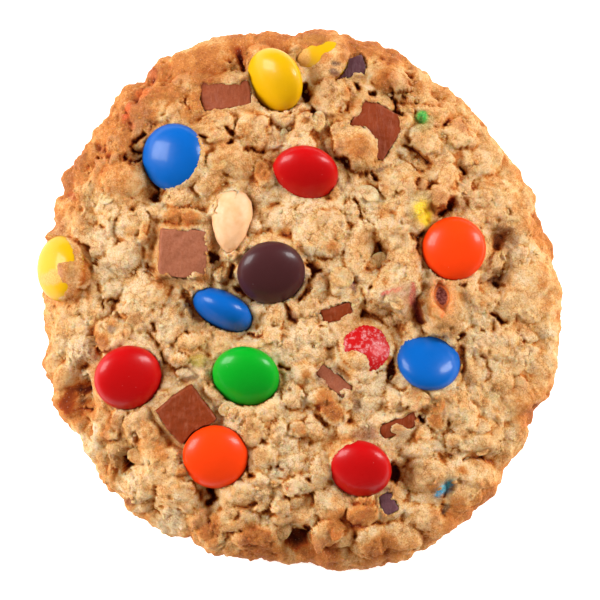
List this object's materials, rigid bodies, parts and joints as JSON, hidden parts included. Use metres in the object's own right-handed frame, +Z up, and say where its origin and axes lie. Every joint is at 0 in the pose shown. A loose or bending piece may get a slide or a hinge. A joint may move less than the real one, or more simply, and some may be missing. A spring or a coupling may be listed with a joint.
{
  "type": "monster cookie",
  "caption": "Thick round oat and peanut butter cookie with candy-coated chocolate buttons, milk chocolate chunks and a peanut half baked into its craggy top.",
  "frame": {"origin": "middle of the cookie's outline, on the surface it rests on", "axes": "+Z up through the cookie's thickness; +Y points to the edge that is at the top of the picture, +X to its right edge"},
  "size_m": [0.105, 0.1092, 0.0189],
  "materials": {
    "oat_dough": "baked, matte and craggy, golden tan with browner rim and high spots",
    "shell_yellow": "glossy sugar shell",
    "shell_blue": "glossy sugar shell",
    "shell_red": "glossy sugar shell",
    "shell_orange": "glossy sugar shell",
    "shell_green": "glossy sugar shell",
    "shell_brown": "glossy sugar shell",
    "milk_chocolate": "satin, broken faces",
    "dark_chocolate": "satin, broken faces",
    "peanut": "satin, roasted"
  },
  "bodies": {
    "root": {"dough": "oat_dough", "button_yellow_top": "shell_yellow", "button_blue_upper": "shell_blue", "button_red_upper": "shell_red", "button_orange_right": "shell_orange", "button_brown_middle": "shell_brown", "button_blue_middle": "shell_blue", "button_red_left": "shell_red", "button_green": "shell_green", "button_orange_lower": "shell_orange", "button_red_lower": "shell_red", "button_blue_right": "shell_blue", "button_yellow_edge": "shell_yellow", "button_yellow_sunk": "shell_yellow", "button_red_broken": "shell_red", "button_orange_covered": "shell_orange", "chunk_left": "milk_chocolate", "chunk_lower_left": "milk_chocolate", "chunk_upper_left": "milk_chocolate", "chunk_upper_right": "milk_chocolate", "chunk_middle": "milk_chocolate", "chunk_lower_middle": "milk_chocolate", "chunk_lower_right": "milk_chocolate", "dark_chunk_top": "dark_chocolate", "dark_chunk_low": "dark_chocolate", "peanut_half": "peanut"}
  },
  "joints": []
}
